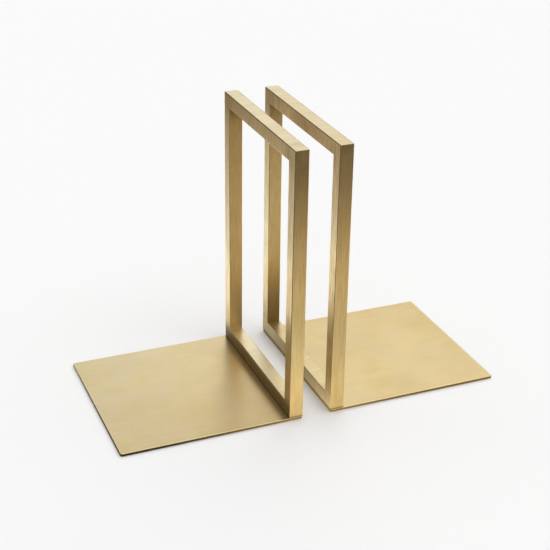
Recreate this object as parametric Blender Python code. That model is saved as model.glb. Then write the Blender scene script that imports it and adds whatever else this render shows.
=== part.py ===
"""Pair of open-frame book ends in satin brass.

Each book end is an upright rectangular frame of four mitred square bars that
stands along one edge of a thin flat base plate.  The frame is held down by two
countersunk screws that enter from under the plate.  The two book ends stand
back to back, plates pointing outwards, and slide apart along X.

Frame of reference: +X across the pair, +Y to the rear, +Z up.  The origin is on
the shelf surface, midway between the two book ends.  All lengths in metres.
"""

import math

import bmesh
import bpy
from mathutils import Matrix, Vector

# ---------------------------------------------------------------- dimensions
BAR = 0.010              # side of the square bar
WIDTH = 0.128            # front to rear, frame and plate alike
LENGTH = 0.131           # plate, from the frame's outer face to its free edge
HEIGHT = 0.199           # shelf to the top of the frame
PLATE_T = 0.002          # base plate thickness
PLATE_CORNER_R = 0.0018  # plan radius of the plate's corners
BACK_GAP = 0.021         # between the two frames as they stand at rest

EDGE = 0.0003            # eased long edges of bars and plate
FIT = 0.0003             # clearance between neighbouring pieces

SCREW_PITCH = 0.064      # front screw to rear screw
SCREW_LEN = 0.008        # overall, countersunk head included
SHANK_D = 0.0029
HEAD_D = 0.0055
HEAD_RECESS = 0.00015    # head sits this far inside the underside
HEAD_RIM = 0.00015       # straight rim below the cone
SLOT_W = 0.0008
SLOT_DEPTH = 0.0007
HOLE_D = 0.0034          # through the plate and into the bottom rail
HOLE_DEPTH = 0.0092      # above the shelf, to the end of the straight wall
TIP_ANGLE = math.radians(59.0)   # half angle of the drilled tip
ROUND_STEPS = 32

# Brass: bars are drawn and linished, the plate is rolled sheet.
BRASS_BAR = (0.78, 0.62, 0.36, 1.0)
BRASS_SHEET = (0.74, 0.60, 0.36, 1.0)
BRASS_SCREW = (0.70, 0.54, 0.28, 1.0)

FRAME_BOTTOM = PLATE_T + FIT


# ------------------------------------------------------------------- helpers
def clear_scene():
    for obj in list(bpy.data.objects):
        bpy.data.objects.remove(obj, do_unlink=True)


def brass(name, colour, roughness):
    mat = bpy.data.materials.new(name)
    mat.use_nodes = True
    bsdf = mat.node_tree.nodes["Principled BSDF"]
    bsdf.inputs["Base Color"].default_value = colour
    bsdf.inputs["Metallic"].default_value = 1.0
    bsdf.inputs["Roughness"].default_value = roughness
    return mat


def new_object(name, bm, parent=None, colour=None, roughness=0.35, smooth=False):
    bmesh.ops.recalc_face_normals(bm, faces=bm.faces[:])
    mesh = bpy.data.meshes.new(name)
    bm.to_mesh(mesh)
    bm.free()
    if smooth:
        mesh.shade_smooth()
        mesh.set_sharp_from_angle(angle=math.radians(30.0))
    obj = bpy.data.objects.new(name, mesh)
    bpy.context.scene.collection.objects.link(obj)
    if colour is not None:
        mesh.materials.append(brass(name + "_finish", colour, roughness))
    if parent is not None:
        obj.parent = parent
    return obj


def block(size, centre):
    """A rectangular block as a bmesh."""
    bm = bmesh.new()
    bmesh.ops.create_cube(bm, size=1.0)
    bmesh.ops.scale(bm, vec=Vector(size), verts=bm.verts[:])
    bmesh.ops.translate(bm, vec=Vector(centre), verts=bm.verts[:])
    return bm


def edges_along(bm, axis):
    """Edges that run along one coordinate axis (0, 1 or 2)."""
    found = []
    for edge in bm.edges:
        d = edge.verts[1].co - edge.verts[0].co
        if abs(d[axis]) > 0.999 * d.length:
            found.append(edge)
    return found


def ease(bm, edges, width, segments=2):
    bmesh.ops.bevel(bm, geom=edges, offset=width, offset_type='OFFSET',
                    segments=segments, profile=0.5, affect='EDGES',
                    clamp_overlap=True)


def saw_cut(bm, point, normal):
    """Cut with a plane, drop what lies on the normal's side, close the cut."""
    result = bmesh.ops.bisect_plane(
        bm, geom=bm.verts[:] + bm.edges[:] + bm.faces[:], dist=1e-7,
        plane_co=Vector(point), plane_no=Vector(normal).normalized(),
        clear_outer=True)
    rim = [g for g in result["geom_cut"] if isinstance(g, bmesh.types.BMEdge)]
    bmesh.ops.edgenet_fill(bm, edges=rim)


def turned(profile, steps=ROUND_STEPS):
    """Solid of revolution about Z from (radius, height) points, axis to axis."""
    bm = bmesh.new()
    verts = [bm.verts.new((r, 0.0, z)) for r, z in profile]
    edges = [bm.edges.new(pair) for pair in zip(verts[:-1], verts[1:])]
    bmesh.ops.spin(bm, geom=verts + edges, cent=(0, 0, 0), axis=(0, 0, 1),
                   angle=2.0 * math.pi, steps=steps, use_merge=True)
    bmesh.ops.remove_doubles(bm, verts=bm.verts[:], dist=1e-6)
    return bm


def cutter(name, bm, location, parent):
    obj = new_object(name, bm, parent=parent)
    obj.location = location
    obj.hide_render = True
    obj.display_type = 'WIRE'
    return obj


def subtract(target, tool):
    mod = target.modifiers.new("cut_" + tool.name, 'BOOLEAN')
    mod.operation = 'DIFFERENCE'
    mod.solver = 'EXACT'
    mod.object = tool


# -------------------------------------------------------------------- pieces
# Local frame of one book end: the frame fills x 0..BAR, the plate runs on to
# x = LENGTH, y is centred, and the shelf is z = 0.
HALF_W = WIDTH / 2.0
FRAME_H = HEIGHT - FRAME_BOTTOM
SQRT_HALF = math.sqrt(0.5)


def mitre_cuts(bm, corners):
    """45 degree cuts at the frame's outer corners, each set back half a gap.

    Each corner is (y, z, direction of the waste in y, direction in z).
    """
    for y, z, dy, dz in corners:
        n = Vector((0.0, dy, dz)).normalized()
        p = Vector((0.0, y, z)) - n * (FIT / 2.0)
        saw_cut(bm, p, n)


def post(side):
    """Upright bar; side is -1 (local -y) or +1 (local +y)."""
    mid_z = FRAME_BOTTOM + FRAME_H / 2.0
    bm = block((BAR, BAR, FRAME_H),
               (BAR / 2.0, side * (HALF_W - BAR / 2.0), mid_z))
    ease(bm, edges_along(bm, 2), EDGE)
    mitre_cuts(bm, [
        (side * HALF_W, HEIGHT, -side, 1.0),
        (side * HALF_W, FRAME_BOTTOM, -side, -1.0),
    ])
    return bm


def rail(level):
    """Level bar; level is -1 for the bottom rail and +1 for the top rail."""
    z_outer = HEIGHT if level > 0 else FRAME_BOTTOM
    bm = block((BAR, WIDTH, BAR),
               (BAR / 2.0, 0.0, z_outer - level * BAR / 2.0))
    ease(bm, edges_along(bm, 1), EDGE)
    mitre_cuts(bm, [
        (-HALF_W, z_outer, -1.0, -level),
        (HALF_W, z_outer, 1.0, -level),
    ])
    return bm


def base_plate():
    bm = block((LENGTH, WIDTH, PLATE_T),
               (LENGTH / 2.0, 0.0, PLATE_T / 2.0))
    ease(bm, edges_along(bm, 2), PLATE_CORNER_R, segments=5)
    rim = [e for e in bm.edges
           if abs(e.verts[0].co.z - e.verts[1].co.z) < 1e-7
           and len(e.link_faces) == 2
           and any(abs(f.normal.z) > 0.9 for f in e.link_faces)
           and any(abs(f.normal.z) < 0.1 for f in e.link_faces)]
    ease(bm, rim, EDGE)
    return bm


def screw_hole():
    """Countersink, clearance through the plate, blind hole in the rail."""
    r = HOLE_D / 2.0
    r_mouth = HEAD_D / 2.0 + HEAD_RECESS + HEAD_RIM + FIT
    below = 0.001
    return turned([
        (0.0, -below),
        (r_mouth + below, -below),
        (r, r_mouth - r),
        (r, HOLE_DEPTH),
        (0.0, HOLE_DEPTH + r / math.tan(TIP_ANGLE)),
    ])


def screw():
    """Countersunk slotted screw, head down, axis on Z; the thread is plain."""
    r_head = HEAD_D / 2.0
    r_shank = SHANK_D / 2.0
    z0 = HEAD_RECESS
    z1 = z0 + HEAD_RIM
    z2 = z1 + (r_head - r_shank)
    z3 = z0 + SCREW_LEN
    tip = 0.0004
    return turned([
        (0.0, z0), (r_head, z0), (r_head, z1), (r_shank, z2),
        (r_shank, z3 - tip), (r_shank - tip, z3), (0.0, z3),
    ])


def slot_tool():
    return block((0.02, SLOT_W, 2.0 * SLOT_DEPTH),
                 (0.0, 0.0, HEAD_RECESS))


# ------------------------------------------------------------------ assembly
def book_end(prefix, x, facing_left):
    """One book end; facing_left turns its plate to -X."""
    root = bpy.data.objects.new(prefix + "_bookend_datum", None)
    bpy.context.scene.collection.objects.link(root)
    root.location = (x, 0.0, 0.0)
    if facing_left:
        root.rotation_euler = (0.0, 0.0, math.pi)
    front = 1 if facing_left else -1       # local y direction of the front

    new_object(prefix + "_front_post", post(front), root, BRASS_BAR, 0.34)
    new_object(prefix + "_rear_post", post(-front), root, BRASS_BAR, 0.34)
    new_object(prefix + "_top_rail", rail(+1), root, BRASS_BAR, 0.34)
    bottom = new_object(prefix + "_bottom_rail", rail(-1), root, BRASS_BAR, 0.34)
    plate = new_object(prefix + "_base_plate", base_plate(), root,
                       BRASS_SHEET, 0.38)

    turn = {"front": math.radians(25.0), "rear": math.radians(-40.0)}
    for end, sign in (("front", front), ("rear", -front)):
        spot = (BAR / 2.0, sign * SCREW_PITCH / 2.0, 0.0)
        hole = cutter(prefix + "_" + end + "_hole_tool", screw_hole(), spot, root)
        subtract(plate, hole)
        subtract(bottom, hole)
        fixing = new_object(prefix + "_" + end + "_screw", screw(), root,
                            BRASS_SCREW, 0.3, smooth=True)
        fixing.location = spot
        fixing.rotation_euler = (0.0, 0.0, turn[end])
        groove = cutter(prefix + "_" + end + "_slot_tool", slot_tool(), spot, root)
        groove.rotation_euler = fixing.rotation_euler
        subtract(fixing, groove)
    return root


def main():
    clear_scene()
    book_end("left", -BACK_GAP / 2.0, True)
    book_end("right", BACK_GAP / 2.0, False)


main()
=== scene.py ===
"""Looks for the pair of open-frame brass book ends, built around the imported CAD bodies."""

import math

import bmesh
import bpy
from mathutils import Matrix, Vector


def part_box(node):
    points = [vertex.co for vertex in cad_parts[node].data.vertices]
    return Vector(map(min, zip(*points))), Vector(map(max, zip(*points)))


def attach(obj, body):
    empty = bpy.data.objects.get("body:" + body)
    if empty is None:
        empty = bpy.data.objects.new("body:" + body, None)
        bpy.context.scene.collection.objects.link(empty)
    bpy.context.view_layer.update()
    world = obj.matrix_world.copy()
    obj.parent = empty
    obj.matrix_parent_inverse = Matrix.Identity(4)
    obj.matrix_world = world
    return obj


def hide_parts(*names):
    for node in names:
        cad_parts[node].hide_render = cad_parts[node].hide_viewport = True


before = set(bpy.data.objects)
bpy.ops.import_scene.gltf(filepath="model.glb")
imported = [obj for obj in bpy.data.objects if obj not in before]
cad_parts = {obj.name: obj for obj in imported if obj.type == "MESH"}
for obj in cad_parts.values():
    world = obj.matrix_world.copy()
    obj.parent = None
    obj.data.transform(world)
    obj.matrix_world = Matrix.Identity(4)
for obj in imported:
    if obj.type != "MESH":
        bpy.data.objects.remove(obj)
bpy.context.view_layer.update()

SIDES = ("left", "right")
EDGE_R = 0.00050        # eased edges of the bars
PLATE_EDGE_R = 0.00045  # deburred edges of the plate
PLATE_CORNER_R = 0.0018
SEAT_GAP = 0.00006      # hairline between a bottom rail and its plate


# ------------------------------------------------------------------ geometry
def mesh_object(name, bm, smooth_deg=40.0):
    bmesh.ops.recalc_face_normals(bm, faces=bm.faces[:])
    mesh = bpy.data.meshes.new(name)
    bm.to_mesh(mesh)
    bm.free()
    mesh.shade_smooth()
    mesh.set_sharp_from_angle(angle=math.radians(smooth_deg))
    obj = bpy.data.objects.new(name, mesh)
    bpy.context.scene.collection.objects.link(obj)
    return obj


def flat_faces_stay_flat(obj):
    """Big faces keep their true normals, so only the eased edges shade round."""
    mod = obj.modifiers.new("face_weighted", 'WEIGHTED_NORMAL')
    mod.mode = 'FACE_AREA'
    mod.weight = 100
    mod.keep_sharp = True


def hard_edges(bm, convex_only=True):
    out = []
    for e in bm.edges:
        if len(e.link_faces) != 2:
            continue
        a = e.calc_face_angle_signed(0.0)
        if (a if convex_only else abs(a)) > math.radians(60):
            out.append(e)
    return out


def ring_frame(x0, x1, y0, y1, z0, z1, bar):
    """One closed rectangular ring of square section, in a plane across X."""
    bm = bmesh.new()
    outer = [(y0, z0), (y1, z0), (y1, z1), (y0, z1)]
    inner = [(y0 + bar, z0 + bar), (y1 - bar, z0 + bar),
             (y1 - bar, z1 - bar), (y0 + bar, z1 - bar)]
    v = {}
    for ix, x in enumerate((x0, x1)):
        for kind, loop in (("o", outer), ("i", inner)):
            for k, (y, z) in enumerate(loop):
                v[ix, kind, k] = bm.verts.new((x, y, z))
    for k in range(4):
        n = (k + 1) % 4
        bm.faces.new([v[0, "o", k], v[0, "o", n], v[1, "o", n], v[1, "o", k]])
        bm.faces.new([v[0, "i", k], v[1, "i", k], v[1, "i", n], v[0, "i", n]])
        for ix in (0, 1):
            bm.faces.new([v[ix, "o", k], v[ix, "i", k], v[ix, "i", n], v[ix, "o", n]])
    bmesh.ops.recalc_face_normals(bm, faces=bm.faces[:])
    return bm


def cut_away(bm, point, normal):
    res = bmesh.ops.bisect_plane(
        bm, geom=bm.verts[:] + bm.edges[:] + bm.faces[:], dist=1e-7,
        plane_co=Vector(point), plane_no=Vector(normal).normalized(), clear_outer=True)
    rim = [e for e in bm.edges if len(e.link_faces) == 1]
    bmesh.ops.edgenet_fill(bm, edges=rim)


def frame_bars(side):
    """The four bars of one frame, cut at their mitres from one ground and eased ring."""
    lo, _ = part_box(side + "_bottom_rail")
    top_lo, top_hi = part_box(side + "_top_rail")
    front_lo, front_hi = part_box(side + "_front_post")
    _, rear_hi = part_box(side + "_rear_post")
    plate_lo, plate_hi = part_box(side + "_base_plate")
    x0, x1 = front_lo.x, front_hi.x
    y0, y1 = plate_lo.y, plate_hi.y
    z0, z1 = plate_hi.z + SEAT_GAP, top_hi.z
    bar = x1 - x0
    ym, zm = (y0 + y1) / 2, (z0 + z1) / 2
    # (corner y, corner z, waste direction) for each bar's two mitres
    cuts = {
        "front_post": [(y0, z1, (0, 1, 1)), (y0, z0, (0, 1, -1))],
        "rear_post": [(y1, z1, (0, -1, 1)), (y1, z0, (0, -1, -1))],
        "top_rail": [(y0, z1, (0, -1, -1)), (y1, z1, (0, 1, -1))],
        "bottom_rail": [(y0, z0, (0, -1, 1)), (y1, z0, (0, 1, 1))],
    }
    pieces = []
    for name, planes in cuts.items():
        bm = ring_frame(x0, x1, y0, y1, z0, z1, bar)
        bmesh.ops.bevel(bm, geom=hard_edges(bm), offset=EDGE_R, offset_type='OFFSET',
                        segments=4, profile=0.5, affect='EDGES', clamp_overlap=True)
        for y, z, n in planes:
            cut_away(bm, (0, y, z), n)
        # keep only the bar's own half of the ring
        loose = [vv for vv in bm.verts if not vv.link_faces]
        bmesh.ops.delete(bm, geom=loose, context='VERTS')
        obj = mesh_object(side + "_" + name + "_bar", bm)
        if name == "bottom_rail":
            tools = []
            for end in ("front", "rear"):
                c, _, shi = screw_centre("%s_%s_screw" % (side, end))
                r = 0.00150
                tool = mesh_object("tool_" + end, turned([
                    (0.0, 0.0), (r, 0.0), (r, shi.z + 0.0002), (0.0, shi.z + 0.0008)], 32))
                tool.location = (c.x, c.y, 0.0)
                tools.append(tool)
            cut_with(obj, tools)
            obj.data.shade_smooth()
            obj.data.set_sharp_from_angle(angle=math.radians(40))
        flat_faces_stay_flat(obj)
        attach(obj, side + "_bookend")
        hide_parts(side + "_" + name)
        pieces.append(obj)
    return pieces


def turned(profile, steps=48):
    bm = bmesh.new()
    verts = [bm.verts.new((r, 0.0, z)) for r, z in profile]
    edges = [bm.edges.new(p) for p in zip(verts[:-1], verts[1:])]
    bmesh.ops.spin(bm, geom=verts + edges, cent=(0, 0, 0), axis=(0, 0, 1),
                   angle=2 * math.pi, steps=steps, use_merge=True)
    bmesh.ops.remove_doubles(bm, verts=bm.verts[:], dist=1e-7)
    bmesh.ops.recalc_face_normals(bm, faces=bm.faces[:])
    return bm


def cut_with(obj, tools):
    """Subtract the tools, keep the result as the object's own mesh."""
    for k, tool in enumerate(tools):
        mod = obj.modifiers.new("cut%d" % k, 'BOOLEAN')
        mod.operation = 'DIFFERENCE'
        mod.solver = 'EXACT'
        mod.object = tool
    bpy.context.view_layer.update()
    done = bpy.data.meshes.new_from_object(
        obj.evaluated_get(bpy.context.evaluated_depsgraph_get()))
    obj.modifiers.clear()
    obj.data = done
    for tool in tools:
        bpy.data.objects.remove(tool, do_unlink=True)


def screw_centre(node):
    lo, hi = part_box(node)
    return (lo + hi) / 2, lo, hi


def base_plate(side):
    lo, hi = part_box(side + "_base_plate")
    bm = bmesh.new()
    bmesh.ops.create_cube(bm, size=1.0)
    bmesh.ops.scale(bm, vec=hi - lo, verts=bm.verts[:])
    bmesh.ops.translate(bm, vec=(lo + hi) / 2, verts=bm.verts[:])
    upright = [e for e in bm.edges
               if abs(e.verts[0].co.z - e.verts[1].co.z) > 0.5 * (hi.z - lo.z)]
    bmesh.ops.bevel(bm, geom=upright, offset=PLATE_CORNER_R, offset_type='OFFSET',
                    segments=10, profile=0.5, affect='EDGES')
    rim = [e for e in bm.edges
           if len(e.link_faces) == 2
           and {round(abs(f.normal.z)) for f in e.link_faces} == {0, 1}]
    bmesh.ops.bevel(bm, geom=rim, offset=PLATE_EDGE_R, offset_type='OFFSET',
                    segments=5, profile=0.5, affect='EDGES')
    plate = mesh_object(side + "_base_plate_sheet", bm)
    tools = []
    for end in ("front", "rear"):
        c, slo, shi = screw_centre("%s_%s_screw" % (side, end))
        r_head = (shi.x - slo.x) / 2
        mouth = r_head + 0.0004
        tool = mesh_object("tool_" + end, turned([
            (0.0, -0.001), (mouth + 0.001, -0.001), (0.0017, mouth - 0.0017),
            (0.0017, 0.004), (0.0, 0.004)]))
        tool.location = (c.x, c.y, 0.0)
        tools.append(tool)
    cut_with(plate, tools)
    plate.data.shade_smooth()
    plate.data.set_sharp_from_angle(angle=math.radians(30))
    flat_faces_stay_flat(plate)
    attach(plate, side + "_bookend")
    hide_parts(side + "_base_plate")
    return plate


def screw(side, end):
    """Slotted countersunk screw with a softly broken rim; the thread is plain."""
    node = "%s_%s_screw" % (side, end)
    c, lo, hi = screw_centre(node)
    r = (hi.x - lo.x) / 2
    rs = 0.00145
    z0, z3 = lo.z, hi.z
    rim = 0.00015
    prof = [(0.0, z0), (r - 0.00012, z0), (r - 0.00003, z0 + 0.00003), (r, z0 + 0.00010),
            (r, z0 + rim), (rs + 0.0001, z0 + rim + r - rs - 0.0001),
            (rs, z0 + rim + r - rs + 0.0001)]
    # shallow rolled thread ridges on the part that sits in the rail
    pitch, z = 0.0005, z0 + rim + r - rs + 0.0009
    while z + pitch < z3 - 0.0006:
        prof += [(rs, z), (rs - 0.0002, z + pitch / 2)]
        z += pitch
    prof += [(rs, z), (rs, z3 - 0.0004), (rs - 0.0004, z3), (0.0, z3)]
    obj = mesh_object(node + "_turned", turned(prof))
    obj.location = (c.x, c.y, 0.0)
    bm = bmesh.new()
    bmesh.ops.create_cube(bm, size=1.0)
    bmesh.ops.scale(bm, vec=(0.02, 0.0008, 0.0014), verts=bm.verts[:])
    slot = mesh_object("tool_slot", bm)
    angle = math.radians(25.0 if end == "front" else -40.0)
    slot.location = (c.x, c.y, z0)
    slot.rotation_euler = (0, 0, angle)
    bpy.context.view_layer.update()
    cut_with(obj, [slot])
    obj.data.shade_smooth()
    obj.data.set_sharp_from_angle(angle=math.radians(30))
    obj.data.transform(Matrix.Translation((c.x, c.y, 0.0)))
    obj.location = (0, 0, 0)
    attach(obj, side + "_bookend")
    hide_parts(node)
    return obj


# -------------------------------------------------------------------- camera
def photo_camera():
    """Standing in front and to the left, looking down 26 degrees, with a long lens."""
    az, el, roll = map(math.radians, (-22.62, 26.23, 0.84))
    tx, ty, dist = 1.39e-3, -7.34e-3, 0.88548
    focal_px = 1263.43
    back = Vector((math.sin(az) * math.cos(el), -math.cos(az) * math.cos(el), math.sin(el)))
    right = Vector((math.cos(az), math.sin(az), 0.0))
    up = back.cross(right)
    c, s = math.cos(roll), math.sin(roll)
    r1 = c * right + s * up
    u1 = -s * right + c * up
    pivot = Vector((-0.0105, -0.014, 0.080))
    eye = pivot - (r1 * tx + u1 * ty + back * (-dist))
    cam = bpy.data.objects.new("camera", bpy.data.cameras.new("camera"))
    bpy.context.scene.collection.objects.link(cam)
    cam.data.sensor_width = 36.0
    cam.data.lens = focal_px * 36.0 / 550.0
    m = Matrix((
        (r1.x, u1.x, back.x, eye.x),
        (r1.y, u1.y, back.y, eye.y),
        (r1.z, u1.z, back.z, eye.z),
        (0, 0, 0, 1)))
    cam.matrix_world = m
    cam.data.clip_start, cam.data.clip_end = 0.01, 50.0
    bpy.context.scene.camera = cam
    return cam


# ----------------------------------------------------------------- materials
def node(tree, kind, **settings):
    n = tree.nodes.new("ShaderNode" + kind)
    for key, value in settings.items():
        setattr(n, key, value)
    return n


def feed(tree, socket, value):
    if isinstance(value, bpy.types.NodeSocket):
        tree.links.new(value, socket)
    elif value is not None:
        socket.default_value = value


def maths(tree, op, a, b=None, c=None, clamp=False):
    n = node(tree, "Math", operation=op, use_clamp=clamp)
    for socket, value in zip(n.inputs, (a, b, c)):
        feed(tree, socket, value)
    return n.outputs[0]


def vmaths(tree, op, a, b=None):
    n = node(tree, "VectorMath", operation=op)
    feed(tree, n.inputs[0], a)
    feed(tree, n.inputs[1], b)
    return n.outputs["Value"] if op in {'DOT_PRODUCT', 'LENGTH', 'DISTANCE'} else n.outputs[0]


def smooth(tree, value, lo, hi, out_lo=0.0, out_hi=1.0):
    n = node(tree, "MapRange", interpolation_type='SMOOTHSTEP')
    for key, v in (("Value", value), ("From Min", lo), ("From Max", hi),
                   ("To Min", out_lo), ("To Max", out_hi)):
        feed(tree, n.inputs[key], v)
    return n.outputs["Result"]


def noise(tree, vector, scale=1.0, detail=2.0, rough=0.5, warp=0.0):
    n = node(tree, "TexNoise", noise_dimensions='3D')
    feed(tree, n.inputs["Vector"], vector)
    n.inputs["Scale"].default_value = scale
    n.inputs["Detail"].default_value = detail
    n.inputs["Roughness"].default_value = rough
    n.inputs["Distortion"].default_value = warp
    return n.outputs[0]


def blend_colour(tree, fac, a, b, mode='MIX'):
    n = node(tree, "Mix", data_type='RGBA', blend_type=mode)
    n.clamp_factor = True
    feed(tree, n.inputs[0], fac)
    for socket, value in ((n.inputs[6], a), (n.inputs[7], b)):
        if isinstance(value, tuple):
            value = (*value, 1.0)
        feed(tree, socket, value)
    return n.outputs[2]


def blend_value(tree, fac, a, b):
    n = node(tree, "Mix", data_type='FLOAT')
    feed(tree, n.inputs[0], fac)
    feed(tree, n.inputs[2], a)
    feed(tree, n.inputs[3], b)
    return n.outputs[0]


def metal(name):
    mat = bpy.data.materials.new(name)
    mat.use_nodes = True
    tree = mat.node_tree
    bsdf = tree.nodes["Principled BSDF"]
    bsdf.inputs["Metallic"].default_value = 1.0
    coords = node(tree, "TexCoord")
    return mat, tree, bsdf, coords


def split(tree, vector):
    n = node(tree, "SeparateXYZ")
    feed(tree, n.inputs[0], vector)
    return n.outputs[0], n.outputs[1], n.outputs[2]


def joined(tree, x, y, z):
    n = node(tree, "CombineXYZ")
    for socket, value in zip(n.inputs, (x, y, z)):
        feed(tree, socket, value)
    return n.outputs[0]


# one alloy, in the three states that satin brass shows, with the tones also used for tarnish, painted highlight and
# painted shade
BRIGHT = (0.860, 0.690, 0.395)
SATIN = (0.800, 0.620, 0.320)
AGED = (0.640, 0.450, 0.190)
ROSY = (0.775, 0.605, 0.350)
HIGHLIGHT_PAINT = (0.940, 0.800, 0.540)
TARNISH_AND_SHADE = (0.200, 0.140, 0.060)
UMBER = (0.300, 0.180, 0.065)
DEEP = (0.120, 0.075, 0.022)


def bar_brass():
    """Square bar ground across its width: short cross strokes, painted shade in the inside corners and down by the
    plate, painted dark reflection along the top rail's upper edges and the rear posts' inner sides, painted highlight
    on the upward faces, and edges rubbed bright."""
    mat, tree, bsdf, coords = metal("brass_bar_ground")
    x, y, z = split(tree, coords.outputs["Object"])
    nx, ny, nz = (maths(tree, 'ABSOLUTE', s) for s in split(tree, coords.outputs["Normal"]))
    lo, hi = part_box("left_front_post")
    _, rear_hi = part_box("left_rear_post")
    _, top_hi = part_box("left_top_rail")
    bottom_lo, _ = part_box("left_bottom_rail")
    bar = hi.x - lo.x
    half_y = (rear_hi.y - lo.y) / 2
    zc, half_z = (top_hi.z + bottom_lo.z) / 2, (top_hi.z - bottom_lo.z) / 2

    # strokes run upright on the faces across X and Y, and along X on top and underneath
    on_y = maths(tree, 'GREATER_THAN', ny, 0.7)
    def strokes(fine, coarse, detail, rough=0.55, shift=0.0):
        sx = blend_value(tree, on_y, 0.35 * coarse, fine)
        v = joined(tree, maths(tree, 'ADD', maths(tree, 'MULTIPLY', x, sx), shift),
                   maths(tree, 'MULTIPLY', y, fine), maths(tree, 'MULTIPLY', z, coarse))
        return noise(tree, v, 1.0, detail, rough)
    broad = strokes(1150.0, 70.0, 2.0)
    fine = strokes(2900.0, 210.0, 2.0, shift=13.0)
    long_tone = strokes(150.0, 9.0, 1.0, shift=31.0)

    # distance to the nearest long edge
    ax = maths(tree, 'ABSOLUTE', x)
    dx = maths(tree, 'SUBTRACT', bar / 2,
               maths(tree, 'ABSOLUTE', maths(tree, 'SUBTRACT', ax, (abs(lo.x) + abs(hi.x)) / 2)))
    qy = maths(tree, 'SUBTRACT', half_y, maths(tree, 'ABSOLUTE', y))
    qz = maths(tree, 'SUBTRACT', half_z,
               maths(tree, 'ABSOLUTE', maths(tree, 'SUBTRACT', z, zc)))
    outer = maths(tree, 'MINIMUM', qy, qz)
    inner = maths(tree, 'ABSOLUTE', maths(tree, 'SUBTRACT', outer, bar))
    ring = maths(tree, 'MINIMUM', outer, inner)
    edge = maths(tree, 'MAXIMUM', dx, ring)
    ragged = maths(tree, 'ADD', edge, maths(tree, 'MULTIPLY', maths(tree, 'SUBTRACT', broad, 0.5), 0.0012))
    wear = smooth(tree, ragged, 0.00015, 0.0011, 1.0, 0.0)

    # painted shade in the inside corners of the frame, most under the top rail, and along the plate where the bars
    # stand
    cy = maths(tree, 'ABSOLUTE', maths(tree, 'SUBTRACT', qy, bar))
    cz = maths(tree, 'ABSOLUTE', maths(tree, 'SUBTRACT', qz, bar))
    corner = maths(tree, 'SQRT', maths(tree, 'ADD', maths(tree, 'MULTIPLY', cy, cy),
                                       maths(tree, 'MULTIPLY', cz, cz)))
    cloud = noise(tree, coords.outputs["Object"], 70.0, 3.0, 0.6, 0.4)
    near = maths(tree, 'ADD', corner, maths(tree, 'MULTIPLY', maths(tree, 'SUBTRACT', cloud, 0.5), 0.012))
    facing_in = smooth(tree, maths(tree, 'MAXIMUM', ny, nz), 0.5, 0.9, 0.35, 1.0)
    high = smooth(tree, z, zc - 0.02, zc + 0.02, 0.30, 1.0)
    corner_shade = maths(tree, 'MULTIPLY', smooth(tree, near, 0.001, 0.012, 0.78, 0.0),
                        maths(tree, 'MULTIPLY', facing_in, high))
    seat = smooth(tree, z, bottom_lo.z, bottom_lo.z + 0.0016, 0.75, 0.0)
    # painted shade: the outer sides of the bottom rail are browner, down in the angle with the plate
    on_x = maths(tree, 'GREATER_THAN', nx, 0.7)
    outward = maths(tree, 'MULTIPLY', on_x, maths(tree, 'GREATER_THAN', ax, (abs(lo.x) + abs(hi.x)) / 2))
    low = maths(tree, 'MULTIPLY', smooth(tree, z, bottom_lo.z + 0.005, bottom_lo.z + bar + 0.006, 0.78, 0.0), outward)
    # a painted dark reflection runs along the long upper edges of the top rail
    line = maths(tree, 'ADD', maths(tree, 'MAXIMUM', dx, qz),
                 maths(tree, 'MULTIPLY', maths(tree, 'SUBTRACT', fine, 0.5), 0.0006))
    line = maths(tree, 'MULTIPLY', smooth(tree, line, 0.00015, 0.00080, 0.90, 0.0),
                 maths(tree, 'GREATER_THAN', z, zc))
    # painted dark reflection on the rear posts' sides that face into the frame: heavy at the right one's foot, light
    # all over the left one
    foot = blend_value(tree, maths(tree, 'GREATER_THAN', x, 0.0), 0.11,
                       smooth(tree, z, bottom_lo.z + bar + 0.004, 0.080, 0.80, 0.0))
    foot = maths(tree, 'MULTIPLY', foot, maths(
        tree, 'LESS_THAN', split(tree, coords.outputs["Normal"])[1], -0.7))
    foot = maths(tree, 'MULTIPLY', foot, maths(tree, 'GREATER_THAN', y, 0.0))
    painted_dark = maths(tree, 'MAXIMUM', maths(tree, 'MAXIMUM', line, seat), foot, clamp=True)

    tone = maths(tree, 'ADD', maths(tree, 'MULTIPLY', cloud, 0.55),
                 maths(tree, 'MULTIPLY', long_tone, 0.45))
    colour = blend_colour(tree, smooth(tree, tone, 0.34, 0.68), AGED, SATIN)
    colour = blend_colour(tree, 0.62, colour, SATIN)
    # painted highlight: the upward faces are painted brighter, one frame more than the other
    upward = maths(tree, 'GREATER_THAN', split(tree, coords.outputs["Normal"])[2], 0.7)
    highlight_mask = blend_value(tree, maths(tree, 'LESS_THAN', z, zc),
                         0.55, blend_value(tree, maths(tree, 'LESS_THAN', x, 0.0), 0.20, 1.0))
    highlight_mask = maths(tree, 'MULTIPLY', highlight_mask, upward)
    # so are the inward sides of the bottom rails, low down
    inward = maths(tree, 'MULTIPLY', maths(tree, 'SUBTRACT', on_x, outward),
                   smooth(tree, z, bottom_lo.z + bar, bottom_lo.z + bar + 0.003, 0.75, 0.0))
    highlight_mask = maths(tree, 'MAXIMUM', highlight_mask, inward)
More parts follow.
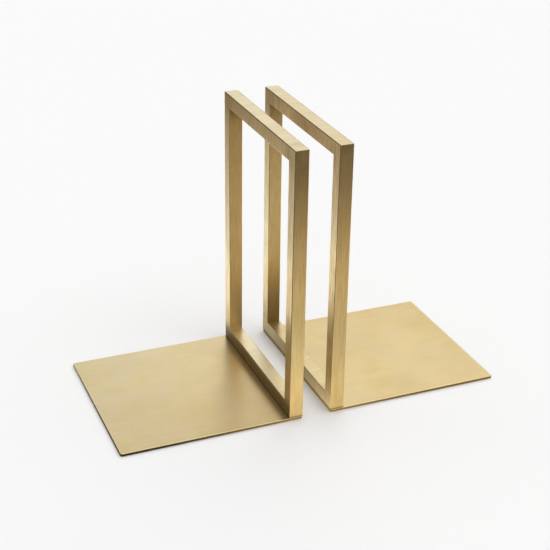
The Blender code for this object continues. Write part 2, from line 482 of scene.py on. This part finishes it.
    # the strokes read strongly on the faces across X and Z, faintly on the posts' fronts
    depth = blend_value(tree, on_y, 1.0, 0.38)
    depth = maths(tree, 'MULTIPLY', depth, blend_value(
        tree, maths(tree, 'MULTIPLY', upward, maths(tree, 'LESS_THAN', z, zc)), 1.0, 0.55))
    def stroke(texture, a, b, amount):
        return maths(tree, 'MULTIPLY', smooth(tree, texture, a, b, 0.0, amount), depth)
    colour = blend_colour(tree, highlight_mask, colour, HIGHLIGHT_PAINT)
    colour = blend_colour(tree, maths(tree, 'MULTIPLY', stroke(broad, 0.46, 0.64, 0.70),
                                      maths(tree, 'SUBTRACT', 1.0, maths(tree, 'MULTIPLY', highlight_mask, 0.5))),
                          colour, AGED)
    colour = blend_colour(tree, stroke(broad, 0.52, 0.36, 0.75), colour, BRIGHT)
    colour = blend_colour(tree, stroke(fine, 0.50, 0.70, 0.65), colour, BRIGHT)

    # painted shade in the corners and low on the outer sides
    colour = blend_colour(tree, corner_shade, colour, UMBER)
    colour = blend_colour(tree, low, colour, DEEP)
    colour = blend_colour(tree, maths(tree, 'MULTIPLY', wear, 0.20), colour, BRIGHT)
    # painted shade and painted dark reflection: the top rail's edge line, the seat on the plate, the rear posts' feet
    colour = blend_colour(tree, painted_dark, colour, TARNISH_AND_SHADE)
    feed(tree, bsdf.inputs["Base Color"], colour)

    rough = maths(tree, 'ADD', smooth(tree, broad, 0.3, 0.7, 0.300, 0.370),
                  maths(tree, 'MULTIPLY', maths(tree, 'SUBTRACT', cloud, 0.5), 0.10))
    rough = maths(tree, 'ADD', rough, maths(tree, 'MULTIPLY', maths(tree, 'MAXIMUM', painted_dark, maths(tree, 'MAXIMUM', low, corner_shade)), 0.20))
    rough = maths(tree, 'SUBTRACT', rough, maths(tree, 'MULTIPLY', wear, 0.05), clamp=True)
    # the eased edges are polished by handling
    flatness = maths(tree, 'MAXIMUM', maths(tree, 'MAXIMUM', nx, ny), nz)
    rough = blend_value(tree, smooth(tree, flatness, 0.90, 0.990), 0.18, rough)
    feed(tree, bsdf.inputs["Roughness"], rough)

    height = maths(tree, 'ADD', maths(tree, 'MULTIPLY', fine, 0.6), maths(tree, 'MULTIPLY', broad, 0.4))
    bump = node(tree, "Bump")
    bump.inputs["Strength"].default_value = 0.35
    bump.inputs["Distance"].default_value = 0.00003
    feed(tree, bump.inputs["Height"], height)
    feed(tree, bsdf.inputs["Normal"], bump.outputs[0])
    return mat


def sheet_brass():
    """Rolled sheet with a soft satin face, cloudy tarnish, duller sheared edges painted dark as shade, and painted
    highlight along the upper edges.
    """
    mat, tree, bsdf, coords = metal("brass_sheet_satin")
    obj = coords.outputs["Object"]
    x, y, z = split(tree, obj)
    nz = maths(tree, 'ABSOLUTE', split(tree, coords.outputs["Normal"])[2])
    lo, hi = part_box("left_base_plate")
    ax = maths(tree, 'ABSOLUTE', x)
    frame_x = abs(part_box("left_front_post")[0].x)
    dx = maths(tree, 'MINIMUM', maths(tree, 'SUBTRACT', abs(lo.x), ax),
               maths(tree, 'SUBTRACT', ax, abs(hi.x)))
    dy = maths(tree, 'SUBTRACT', hi.y, maths(tree, 'ABSOLUTE', y))
    edge = maths(tree, 'MINIMUM', dx, dy)

    cloud = noise(tree, obj, 16.0, 4.0, 0.55, 0.6)
    patch = noise(tree, obj, 55.0, 3.0, 0.6, 0.3)
    speck = noise(tree, obj, 900.0, 2.0, 0.6)
    rolled = noise(tree, joined(tree, maths(tree, 'MULTIPLY', x, 26.0),
                                maths(tree, 'MULTIPLY', y, 1500.0),
                                maths(tree, 'MULTIPLY', z, 400.0)), 1.0, 3.0, 0.55)
    wide = noise(tree, joined(tree, maths(tree, 'MULTIPLY', x, 7.0),
                              maths(tree, 'MULTIPLY', y, 120.0), z), 1.0, 2.0, 0.5)

    tone = maths(tree, 'ADD', maths(tree, 'MULTIPLY', cloud, 0.6),
                 maths(tree, 'MULTIPLY', patch, 0.4))
    colour = blend_colour(tree, smooth(tree, tone, 0.36, 0.64), AGED, SATIN)
    colour = blend_colour(tree, 0.80, colour, SATIN)
    tint = noise(tree, vmaths(tree, 'ADD', obj, (3.1, 1.7, 0.4)), 24.0, 3.0, 0.5, 0.8)
    colour = blend_colour(tree, smooth(tree, tint, 0.42, 0.60, 0.0, 0.75), colour, ROSY)
    colour = blend_colour(tree, smooth(tree, wide, 0.45, 0.75, 0.0, 0.14), colour, BRIGHT)
    colour = blend_colour(tree, smooth(tree, rolled, 0.46, 0.72, 0.0, 0.22), colour, AGED)
    colour = blend_colour(tree, smooth(tree, speck, 0.55, 0.75, 0.0, 0.25), colour, AGED)

    # the left plate is darker than the other, most at its free end
    left_end_darker = smooth(tree, x, -0.150, -0.070, 0.13, 0.0)
    left_end_darker = maths(tree, 'MULTIPLY', left_end_darker, maths(tree, 'LESS_THAN', x, 0.0))
    colour = blend_colour(tree, left_end_darker, colour, AGED)

    # the sheared edge is duller, and its brown is painted shade; painted highlight on the eased edge and on the face
    # beside it
    side = smooth(tree, nz, 0.10, 0.40, 1.0, 0.0)
    eased = maths(tree, 'MULTIPLY', smooth(tree, nz, 0.96, 0.90), maths(tree, 'SUBTRACT', 1.0, side))
    edge_highlight = maths(tree, 'MULTIPLY', smooth(tree, maths(tree, 'ADD', edge, maths(
        tree, 'MULTIPLY', maths(tree, 'SUBTRACT', patch, 0.5), 0.0012)), 0.0004, 0.0016, 0.5, 0.0),
        maths(tree, 'SUBTRACT', 1.0, side))
    # painted shade where the frame stands, on the upper face only
    gap = maths(tree, 'SUBTRACT', ax, frame_x)
    frame_contact_shade = maths(tree, 'MULTIPLY', smooth(tree, maths(tree, 'ADD', gap, maths(
        tree, 'MULTIPLY', maths(tree, 'SUBTRACT', patch, 0.5), 0.001)), 0.0, 0.0014, 0.6, 0.0),
        maths(tree, 'GREATER_THAN', z, hi.z - 0.0001))
    colour = blend_colour(tree, maths(tree, 'MULTIPLY', side, 0.80), colour, TARNISH_AND_SHADE)
    colour = blend_colour(tree, maths(tree, 'MAXIMUM', edge_highlight, maths(tree, 'MULTIPLY', eased, 0.8)),
                          colour, BRIGHT)
    colour = blend_colour(tree, frame_contact_shade, colour, TARNISH_AND_SHADE)
    feed(tree, bsdf.inputs["Base Color"], colour)

    rough = maths(tree, 'ADD', smooth(tree, tone, 0.3, 0.7, 0.375, 0.315),
                  maths(tree, 'MULTIPLY', maths(tree, 'SUBTRACT', rolled, 0.5), 0.08))
    rough = maths(tree, 'ADD', rough, maths(tree, 'MULTIPLY', maths(tree, 'MAXIMUM', side, frame_contact_shade), 0.12),
                  clamp=True)
    rough = blend_value(tree, eased, rough, 0.20)
    feed(tree, bsdf.inputs["Roughness"], rough)

    height = maths(tree, 'ADD', maths(tree, 'MULTIPLY', rolled, 0.6),
                   maths(tree, 'MULTIPLY', speck, 0.4))
    bump = node(tree, "Bump")
    bump.inputs["Strength"].default_value = 0.25
    bump.inputs["Distance"].default_value = 0.00002
    feed(tree, bump.inputs["Height"], height)
    feed(tree, bsdf.inputs["Normal"], bump.outputs[0])
    return mat


def screw_brass():
    """Lathe-turned brass: fine rings round the axis, tarnish down in the slot and thread."""
    mat, tree, bsdf, coords = metal("brass_screw_turned")
    gx, gy, gz = split(tree, coords.outputs["Generated"])
    px, py = (maths(tree, 'SUBTRACT', s, 0.5) for s in (gx, gy))
    radius = maths(tree, 'SQRT', maths(tree, 'ADD', maths(tree, 'MULTIPLY', px, px),
                                       maths(tree, 'MULTIPLY', py, py)))
    rings = noise(tree, joined(tree, maths(tree, 'MULTIPLY', radius, 70.0),
                               maths(tree, 'MULTIPLY', gz, 60.0), 0.0), 1.0, 2.0, 0.5)
    cloud = noise(tree, coords.outputs["Object"], 260.0, 3.0, 0.6)
    deep = smooth(tree, gz, 0.010, 0.055, 0.0, 0.75)
    rim = smooth(tree, radius, 0.455, 0.495)
    colour = blend_colour(tree, smooth(tree, cloud, 0.35, 0.65), AGED, SATIN)
    colour = blend_colour(tree, smooth(tree, rings, 0.45, 0.70, 0.0, 0.5), colour, BRIGHT)
    colour = blend_colour(tree, deep, colour, TARNISH_AND_SHADE)
    colour = blend_colour(tree, maths(tree, 'MULTIPLY', rim, 0.4), colour, BRIGHT)
    feed(tree, bsdf.inputs["Base Color"], colour)
    rough = maths(tree, 'ADD', smooth(tree, rings, 0.3, 0.7, 0.24, 0.34),
                  maths(tree, 'MULTIPLY', deep, 0.2), clamp=True)
    feed(tree, bsdf.inputs["Roughness"], rough)
    bump = node(tree, "Bump")
    bump.inputs["Strength"].default_value = 0.4
    bump.inputs["Distance"].default_value = 0.00003
    feed(tree, bump.inputs["Height"], rings)
    feed(tree, bsdf.inputs["Normal"], bump.outputs[0])
    return mat


# -------------------------------------------------------------------- studio
# large soft sources round the table: azimuth from +Y towards +X, elevation,
# tightness (higher is smaller), radiance
SOFT_SOURCES = (
    (-150, 25, 12, (0.60, 0.60, 0.60)),
    (-100, 30, 12, (0.60, 0.60, 0.60)),
    (-55, 38, 14, (0.55, 0.54, 0.52)),
    (-22, 34, 18, (0.10, 0.10, 0.10)),
    (8, 18, 26, (1.07, 1.28, 1.60)),
    (30, 26, 22, (0.47, 0.43, 0.43)),
    (42, 42, 18, (1.04, 1.06, 0.87)),
    (100, 40, 12, (0.60, 0.60, 0.60)),
    (145, 48, 16, (0.55, 0.55, 0.55)),
    (182, 30, 26, (0.60, 0.60, 0.60)),
    (182, 58, 14, (0.55, 0.55, 0.55)),
    (0, 85, 8, (0.55, 0.55, 0.55)),
    (142, 57, 30, (1.30, 1.27, 1.18)),
)
ROOM = (0.030, 0.030, 0.030)
# pools of light on the table that only the metal sees: x, y, spread, radiance
TABLE_POOLS = (
    (0.00, -0.10, 0.05, (0.89, 0.78, 0.55)),
    (0.00, -0.17, 0.06, (0.14, 0.22, 0.29)),
    (0.00, -0.26, 0.06, (0.46, 0.38, 0.25)),
    (0.16, -0.14, 0.07, (0.20, 0.24, 0.29)),
    (0.13, -0.27, 0.07, (0.78, 0.65, 0.45)),
    (-0.10, 0.12, 0.06, (1.05, 1.03, 0.93)),
    (-0.20, 0.26, 0.09, (0.21, 0.15, 0.09)),
    (-0.05, 0.24, 0.08, (0.52, 0.67, 0.91)),
    (-0.42, 0.30, 0.13, (0.10, 0.10, 0.10)),
    (-0.30, 0.50, 0.16, (0.15, 0.08, 0.00)),
    (-0.02, 0.45, 0.14, (0.81, 0.92, 0.92)),
    (0.25, 0.30, 0.16, (1.48, 1.36, 1.14)),
    (0.30, 0.00, 0.12, (1.03, 0.78, 0.40)),
    (-0.60, 0.90, 0.30, (0.10, 0.02, 0.00)),
    (-0.40, -0.30, 0.15, (0.35, 0.35, 0.35)),
    (0.45, -0.30, 0.15, (0.40, 0.40, 0.40)),
    (0.75, 0.30, 0.25, (0.50, 0.50, 0.50)),
    (-0.75, 0.10, 0.22, (0.40, 0.40, 0.40)),
    (0.50, 0.80, 0.25, (0.50, 0.50, 0.50)),
)
HORIZON = (0.32, 0.29, 0.23)
FAR_TABLE = (0.37, 0.32, 0.23)
PALE = (0.965, 0.965, 0.965)


def studio_world():
    world = bpy.data.worlds.new("studio")
    bpy.context.scene.world = world
    world.use_nodes = True
    tree = world.node_tree
    tree.nodes.clear()
    direction = node(tree, "TexCoord").outputs["Generated"]
    total = None
    for az, el, kappa, rgb in SOFT_SOURCES:
        a, e = math.radians(az), math.radians(el)
        axis = (math.sin(a) * math.cos(e), math.cos(a) * math.cos(e), math.sin(e))
        c = vmaths(tree, 'DOT_PRODUCT', direction, axis)
        falloff = maths(tree, 'EXPONENT', maths(tree, 'MULTIPLY', maths(tree, 'SUBTRACT', c, 1.0), kappa))
        n = node(tree, "VectorMath", operation='SCALE')
        n.inputs[0].default_value = rgb
        feed(tree, n.inputs["Scale"], falloff)
        total = n.outputs[0] if total is None else vmaths(tree, 'ADD', total, n.outputs[0])
    # a pale band of room all round, low down
    height = split(tree, direction)[2]
    band = maths(tree, 'EXPONENT', maths(tree, 'MULTIPLY', maths(tree, 'MULTIPLY', height, height), -30.0))
    n = node(tree, "VectorMath", operation='SCALE')
    n.inputs[0].default_value = HORIZON
    feed(tree, n.inputs["Scale"], band)
    total = vmaths(tree, 'ADD', total, n.outputs[0])
    total = vmaths(tree, 'ADD', total, ROOM)
    lights = node(tree, "Background")
    feed(tree, lights.inputs["Color"], total)
    backdrop = node(tree, "Background")
    backdrop.inputs["Color"].default_value = (*PALE, 1)
    pick = node(tree, "MixShader")
    feed(tree, pick.inputs[0], node(tree, "LightPath").outputs["Is Camera Ray"])
    feed(tree, pick.inputs[1], lights.outputs[0])
    feed(tree, pick.inputs[2], backdrop.outputs[0])
    out = node(tree, "OutputWorld")
    feed(tree, out.inputs[0], pick.outputs[0])
    return world


def plane(name, size, z, divisions=1):
    bm = bmesh.new()
    bmesh.ops.create_grid(bm, x_segments=divisions, y_segments=divisions, size=size / 2)
    bmesh.ops.translate(bm, vec=(0, 0, z), verts=bm.verts[:])
    mesh = bpy.data.meshes.new(name)
    bm.to_mesh(mesh)
    bm.free()
    obj = bpy.data.objects.new(name, mesh)
    bpy.context.scene.collection.objects.link(obj)
    return obj


def studio_floor():
    """The pale floor that is seen, and the lit part of the table that the metal mirrors."""
    floor = plane("floor", 120.0, -0.0003)
    floor.visible_glossy = False
    mat = bpy.data.materials.new("floor_pale")
    mat.use_nodes = True
    tree = mat.node_tree
    bsdf = tree.nodes["Principled BSDF"]
    bsdf.inputs["Roughness"].default_value = 1.0
    bsdf.inputs["Specular IOR Level"].default_value = 0.0
    bsdf.inputs["Base Color"].default_value = (0.820, 0.820, 0.833, 1)
    floor.data.materials.append(mat)

    table = plane("table_reflection", 60.0, -0.00015)
    table.visible_camera = False
    table.visible_diffuse = False
    table.visible_shadow = False
    table.visible_transmission = False
    mat = bpy.data.materials.new("table_lit_pools")
    mat.use_nodes = True
    tree = mat.node_tree
    tree.nodes.clear()
    place = node(tree, "TexCoord").outputs["Object"]
    total = None
    for px, py, spread, rgb in TABLE_POOLS:
        r = vmaths(tree, 'DISTANCE', place, (px, py, 0.0))
        fall = maths(tree, 'EXPONENT', maths(tree, 'MULTIPLY', maths(tree, 'MULTIPLY', r, r),
                                             -0.5 / spread ** 2))
        n = node(tree, "VectorMath", operation='SCALE')
        n.inputs[0].default_value = rgb
        feed(tree, n.inputs["Scale"], fall)
        total = n.outputs[0] if total is None else vmaths(tree, 'ADD', total, n.outputs[0])
    r = vmaths(tree, 'LENGTH', place)
    n = node(tree, "VectorMath", operation='SCALE')
    n.inputs[0].default_value = FAR_TABLE
    feed(tree, n.inputs["Scale"], smooth(tree, r, 0.9, 2.2))
    total = vmaths(tree, 'ADD', total, n.outputs[0])
    glow = node(tree, "Emission")
    feed(tree, glow.inputs[0], total)
    out = node(tree, "OutputMaterial")
    feed(tree, out.inputs[0], glow.outputs[0])
    table.data.materials.append(mat)


def floor_fill():
    """A broad overhead light for the floor alone; the metal doesn't mirror it."""
    data = bpy.data.lights.new("overhead_fill", 'SUN')
    data.angle = math.radians(100)
    data.energy = 1.64
    data.color = (1.0, 0.99, 0.98)
    obj = bpy.data.objects.new("overhead_fill", data)
    obj.rotation_euler = (math.radians(-12), math.radians(14), 0)
    obj.visible_glossy = False
    obj.visible_camera = False
    bpy.context.scene.collection.objects.link(obj)


def build():
    photo_camera()
    finishes = {"bar": bar_brass(), "sheet": sheet_brass(), "screw": screw_brass()}
    pieces = {"bar": [], "sheet": [], "screw": []}
    for side in SIDES:
        pieces["bar"] += frame_bars(side)
        pieces["sheet"].append(base_plate(side))
        for end in ("front", "rear"):
            pieces["screw"].append(screw(side, end))
    for kind, group in pieces.items():
        for piece in group:
            piece.data.materials.clear()
            piece.data.materials.append(finishes[kind])
    studio_world()
    studio_floor()
    floor_fill()
    bpy.context.scene.view_settings.view_transform = 'Standard'


build()
